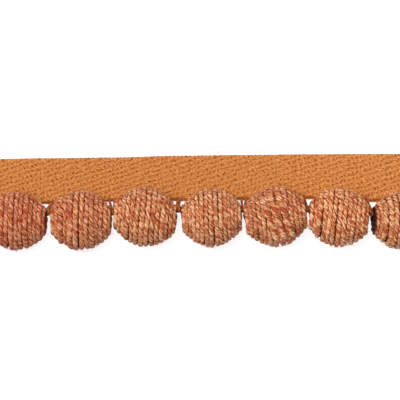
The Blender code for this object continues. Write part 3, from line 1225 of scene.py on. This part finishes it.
@dataclass(frozen=True)
class Tape:
    """The woven twill tape. Millimetres."""

    weave: Weave = TWILL_WEAVE
    thickness: float = 1.0
    clear_of_balls: float = 5.0
    past_end: float = 2.6
    columns_per_pick: int = 5
    rows_per_end: int = 3
    back_rows: int = 36
    edge_rows: int = 4
    float_lift: float = 0.06
    yarn_round: float = 0.08
    hole_depth: float = 0.12
    uneven_picks: float = 0.5
    uneven_ends: float = 1.3
    thread_seed: int = 1
    edge_bulge: float = 0.2
    edge_loop: float = 0.08
    edge_relief: float = 0.6

    @property
    def left(self) -> float:
        """Where the tape is cut on the left."""
        return GAPS[0].x - self.past_end

    @property
    def length(self) -> float:
        """The tape's cut length."""
        return GAPS[-1].x + self.past_end - self.left

    def free_edge(self, x: float) -> float:
        """Returns the free edge's place across the trim."""
        left, right, share = between_gaps(x)
        return smooth_between(left.free_edge, right.free_edge, share)

    def sewn_edge(self, x: float) -> float:
        """Follows the sewn edge, which the stitches pull down at the gaps.

        Args:
            x: the place along the trim.

        Returns:
            The edge's place across the trim.
        """
        left, right, share = between_gaps(x)
        edge = smooth_between(left.sewn_edge, right.sewn_edge, share)
        if not left.x < x < right.x:
            return edge
        ball = BALLS[GAPS.index(left)]
        behind = (1 - math.cos(2 * math.pi * share)) / 2
        return edge + (max(edge, ball.y + self.clear_of_balls) - edge) * behind

    @property
    def deepest(self) -> float:
        """How far the weave's lowest part lies under its highest."""
        return 2 * self.float_lift + self.yarn_round + self.hole_depth

    def twill(self, along: np.ndarray, across: np.ndarray) -> np.ndarray:
        """Raises the floats of the weave and sinks its holes.

        Args:
            along: places along the tape, in picks.
            across: places across it, in warp ends.

        Returns:
            The height of the woven surface there, from 0 in the holes to 1 on the floats.
        """
        weave = self.weave
        warp = np.floor(across)
        cycle = 2 * math.pi / weave.ends_per_repeat
        wave = np.clip(1.6 * np.cos(cycle * (along - warp)), -1, 1)
        rounding = np.sqrt(np.clip(1 - (2 * (across - warp) - 1) ** 2, 0, 1))
        height = self.float_lift * (1 + wave) + self.yarn_round * rounding
        pick = np.rint(along)
        repeat = (across - pick) / weave.ends_per_repeat
        off_along = (along - pick) * weave.pick
        off_across = (repeat - np.rint(repeat)) * weave.ends_per_repeat * weave.end
        straight = off_across - weave.hole_slant * off_along
        far = np.hypot(off_along / weave.hole_length, straight / weave.hole_height)
        hole = np.clip(1.4 - far, 0, 1)
        seam = np.clip(1 - np.abs(across - weave.seam_end) / weave.seam_ends, 0, 1)
        lowered = self.hole_depth * np.maximum(hole, seam)
        return (height + self.hole_depth - lowered) / self.deepest

    def threads_at(self, x: np.ndarray, share: np.ndarray) -> tuple[np.ndarray, np.ndarray]:
        """Counts the threads up to these places, with the threads a little uneven.

        Args:
            x: places along the trim.
            share: shares of the way from the sewn edge to the free one.

        Returns:
            The places in the weave, in picks and in ends.
        """
        along = (x - self.left) / self.weave.pick
        across = share * self.weave.ends
        noise.seed_set(self.thread_seed)
        strays = np.array(
            [noise.noise_vector(Vector((a * 0.45, b * 0.16, 2.0))) for a, b in zip(along, across)]
        )
        inside = np.clip(np.minimum(share, 1 - share) * 12, 0, 1)
        return along + self.uneven_picks * strays[:, 0], across + self.uneven_ends * inside * strays[:, 1]

    @property
    def front_rows(self) -> int:
        """How many rows of faces the front has."""
        return self.weave.ends * self.rows_per_end

    def fold(self, row: np.ndarray) -> tuple[np.ndarray, np.ndarray, np.ndarray]:
        """Folds the rows of a grid round the tape: its front, its free edge, its back and its sewn edge.

        Args:
            row: each vertex's row in the grid, from the sewn edge over the front.

        Returns:
            Its share of the way from the sewn edge to the free one, its height, from -1 on the back to 1 on
            the front, and its bulge, from -1 round the sewn edge to 1 round the free one.
        """
        back_start = self.front_rows + self.edge_rows
        back_end = back_start + self.back_rows
        over = (row - self.front_rows) / self.edge_rows * math.pi
        under = (row - back_end) / self.edge_rows * math.pi
        parts = [row <= self.front_rows, row < back_start, row <= back_end]
        share = np.select(parts, [row / self.front_rows, 1.0, 1 - (row - back_start) / self.back_rows], 0.0)
        up = np.select(parts, [1.0, np.cos(over), -1.0], -np.cos(under))
        bulge = np.select(parts, [0.0, np.sin(over), 0.0], -np.sin(under))
        return share, up, bulge

    def build(self, material: bpy.types.Material) -> bpy.types.Object:
        """Builds the tape as one closed sheet with its weave in relief.

        Args:
            material: the cloth's material.

        Returns:
            The finished piece.
        """
        columns = round(self.length / self.weave.pick * self.columns_per_pick)
        rows = self.front_rows + self.back_rows + 2 * self.edge_rows
        deselect_all()
        bpy.ops.mesh.primitive_grid_add(x_subdivisions=columns, y_subdivisions=rows, size=1)
        tape = bpy.context.object
        tape.name = "twill_tape"
        mesh = tape.data
        start = corners(mesh)
        column = np.rint((start[:, 0] + 0.5) * columns).astype(int)
        row = np.rint((start[:, 1] + 0.5) * rows).astype(int) % rows

        xs = self.left + self.length * np.arange(columns + 1) / columns
        sewn = np.array([self.sewn_edge(float(x)) for x in xs])[column]
        free = np.array([self.free_edge(float(x)) for x in xs])[column]
        x = xs[column]

        share, up, bulge = self.fold(row)
        along, across = self.threads_at(x, share)
        relief = self.twill(along, across)
        edge_fade = np.clip(np.minimum(share, 1 - share) * self.weave.ends, 0, 1)
        half = self.thickness / 2
        loops = 0.5 + 0.5 * np.cos(math.tau * along)
        z = half + up * (half - self.deepest * (1 - relief * edge_fade))
        y = sewn + (free - sewn) * share + bulge * (self.edge_bulge + self.edge_loop * loops)
        move_corners(mesh, np.column_stack([x, y, z]) * MM)
        keep_on_mesh(mesh, CLOTH_PLACE, np.column_stack([along, across, z * 0]))
        # The relief also sets the painted shade in the weave's low parts; the folded edges take a middling
        # share.
        keep_on_mesh(mesh, RELIEF, np.where(edge_fade > 0, relief, self.edge_relief))

        pick_up(tape)
        bpy.ops.object.mode_set(mode="EDIT")
        bpy.ops.mesh.select_all(action="SELECT")
        bpy.ops.mesh.remove_doubles(threshold=MERGE)
        bpy.ops.object.mode_set(mode="OBJECT")
        close_and_face_out(tape)
        return dress(tape, material, ["tape"])


@dataclass(frozen=True)
class StringingCord:
    """The dark cord through all the balls, knotted past each end. Millimetres."""

    knot_past_stitch: float = 1.55
    knot_turns: float = 2.4
    knot_radius: float = 0.5
    knot_length: float = 1.0
    tail: float = 1.0
    drawn_up: float = 0.85
    drawn_reach: float = 1.0
    round_gap: tuple[float, ...] = (-1.3, -0.6, 0.0, 0.6, 1.3)

    def place(self, x: float) -> Vector:
        """Follows the cord's middle, straight through the bores and drawn up by each stitch.

        Args:
            x: the place along the trim.

        Returns:
            The cord's middle there.
        """
        left, right, _ = between_gaps(x)
        share = (x - left.x) / (right.x - left.x)
        off = min(abs(x - left.x), abs(x - right.x)) / self.drawn_reach
        y = left.string_y + (right.string_y - left.string_y) * share + self.drawn_up * math.exp(-(off**2))
        z = left.string_z + (right.string_z - left.string_z) * share
        return Vector((x, y, z))

    def knot(self, end: Gap, side: int) -> list[Vector]:
        """Ties the knot past an end stitch: a few tight coils and a short tail.

        Args:
            end: the gap at the cut end.
            side: -1 for the left end, 1 for the right.

        Returns:
            The knot's points, from the balls outwards.
        """
        start = self.place(end.x) + Vector((side * self.knot_past_stitch, 0, 0))
        points = []
        for share in np.linspace(0, 1, round(8 * self.knot_turns)):
            turned = math.tau * self.knot_turns * float(share)
            round_cord = Vector((0, math.cos(turned), math.sin(turned))) * self.knot_radius
            forth_and_back = math.sin(math.pi * float(share) * 1.5) * self.knot_length
            points.append(start + round_cord + Vector((side * forth_and_back, 0, 0)))
        points.append(points[-1] + Vector((side * self.tail, 0.1, -0.3)))
        return points

    def build(self, material: bpy.types.Material) -> bpy.types.Object:
        """Builds the cord with a small knot at each end.

        Args:
            material: the cord's material.

        Returns:
            The finished piece.
        """
        inner = [self.place(gap.x + off) for gap in GAPS for off in self.round_gap]
        points = self.knot(GAPS[0], -1)[::-1] + inner + self.knot(GAPS[-1], 1)
        route = even_steps([point * MM for point in points], STRING_YARN.step)
        cord = STRING_YARN.lay_along("stringing_cord", route)
        return dress(cord, material, ["string"])


@dataclass(frozen=True)
class Stitch:
    """One stitch from the tape's edge round the stringing cord and back. Millimetres."""

    number: int
    gap: Gap
    lie: float = 1.1
    bite: float = 1.6
    meet_spread: float = 0.3
    loop: float = 0.7
    loop_start: float = math.radians(60)
    loop_turns: float = 1.8
    loop_pitch: float = 0.55

    def leg(self, side: int, edge: float, centre: Vector) -> list[Vector]:
        """Lays one leg, from inside the tape up to the stringing cord.

        Args:
            side: -1 for the left leg, 1 for the right.
            edge: the tape's sewn edge here.
            centre: the stringing cord's middle here.

        Returns:
            The leg's points.
        """
        top = self.gap.x + self.gap.stitch_off + side * self.gap.stitch_spread
        meet = self.gap.x + self.gap.meet_off + side * self.meet_spread
        risen = (edge - self.gap.meet_y) / (edge - centre.y)
        return [
            Vector((top, edge + self.bite, self.lie - 0.6)),
            Vector((top, edge + self.bite * 0.5, self.lie - 0.4)),
            Vector((top, edge + 0.15, self.lie + 0.2)),
            Vector((meet, self.gap.meet_y, self.lie + (centre.z - self.lie) * risen + 0.4)),
        ]

    def build(self, tape: Tape, cord: StringingCord, material: bpy.types.Material) -> bpy.types.Object:
        """Builds the stitch: up one leg, round the stringing cord and down the other leg.

        Args:
            tape: the tape that it is sewn into.
            cord: the stringing cord that it holds.
            material: the thread's material.

        Returns:
            The finished piece.
        """
        edge = tape.sewn_edge(self.gap.x)
        centre = cord.place(self.gap.x)
        points = self.leg(-1, edge, centre)
        for share in np.linspace(0, 1, round(7 * self.loop_turns)):
            turned = self.loop_start - math.tau * self.loop_turns * float(share)
            along = self.loop_pitch * self.loop_turns * (float(share) - 0.5)
            round_cord = (self.loop * math.cos(turned), self.loop * math.sin(turned))
            points.append(centre + Vector((along, *round_cord)))
        points += self.leg(1, edge, centre)[::-1]
        route = even_steps([p * MM for p in points], STITCH_YARN.step)
        thread = STITCH_YARN.lay_along(f"thread_{self.number}", route)
        return dress(thread, material, [f"stitch_{self.number}"])


# Camera, floor and light


@dataclass(frozen=True)
class Studio:
    """A pale floor, soft light and a camera straight above the trim. Metres, watts."""

    aim: tuple[float, float] = (-2.52 * MM, 0.69 * MM)
    view_width: float = 112 * MM
    sharp_height: float = 8.2 * MM
    camera_height: float = 0.8
    sensor: float = 36.0
    floor_size: float = 3.0
    floor_drop: float = 0.05 * MM
    floor_colour: Colour = (0.3, 0.3, 0.3)
    floor_roughness: float = 0.9
    floor_specular: float = 0.1
    floor_glow: float = 0.8
    sky: float = 0.26
    key_power: float = 11.6
    key_size: float = 0.55
    key_place: tuple[float, float, float] = (-0.17, 0.2, 0.85)

    def build_camera(self) -> None:
        """Adds the camera, which frames the photo's width at the height of the balls' middles."""
        data = bpy.data.cameras.new("camera")
        data.sensor_width = self.sensor
        data.lens = self.sensor * self.camera_height / self.view_width
        data.clip_start = 0.01
        data.clip_end = 20.0
        camera = add_object("camera", data)
        camera.location = (*self.aim, self.sharp_height + self.camera_height)
        bpy.context.scene.camera = camera

    def build_floor(self) -> None:
        """Adds the floor just under the trim."""
        deselect_all()
        bpy.ops.mesh.primitive_plane_add(size=self.floor_size, location=(0, 0, -self.floor_drop))
        floor = bpy.context.object
        floor.name = "floor"
        bench = MaterialBench("pale floor")
        look = {
            "Base Color": rgba(self.floor_colour),
            "Roughness": self.floor_roughness,
            "Specular IOR Level": self.floor_specular,
            "Emission Color": WHITE,
            "Emission Strength": self.floor_glow,
        }
        bench.feed(bench.shader, look)
        floor.data.materials.append(bench.material)

    def build_light(self) -> None:
        """Adds a soft light from above and beyond the tape, and an even pale sky."""
        data = bpy.data.lights.new("key", "AREA")
        data.energy = self.key_power
        data.size = self.key_size
        key = add_object("key", data)
        key.location = self.key_place
        key.rotation_euler = (-Vector(self.key_place)).to_track_quat("-Z", "Y").to_euler()
        world = bpy.data.worlds.new("sky")
        world.use_nodes = True
        sky = NodeBench(world.node_tree)
        sky.feed(sky.tree.nodes["Background"], {"Color": WHITE, "Strength": self.sky})
        bpy.context.scene.world = world
        bpy.context.scene.view_settings.view_transform = "Standard"

    def build(self) -> None:
        """Sets up the whole studio."""
        self.build_camera()
        self.build_floor()
        self.build_light()


def main() -> None:
    """Builds the studio and every piece of the trim."""
    logging.basicConfig(level=logging.INFO, format="%(name)s: %(message)s")
    Studio().build()
    shared = SharedEffects()
    jute = JUTE.material(shared)
    under = SHADED_JUTE_UNDER.material(shared)
    tape = Tape()
    sheet = tape.build(TWILL.material(shared, tape.weave))
    for ball in BALLS:
        ball.build(jute, under)
    cord = StringingCord()
    cord.build(STRING.material(shared))
    thread = THREAD.material(shared)
    for number, gap in enumerate(GAPS, start=1):
        Stitch(number, gap).build(tape, cord, thread)


if __name__ == "__main__":
    main()
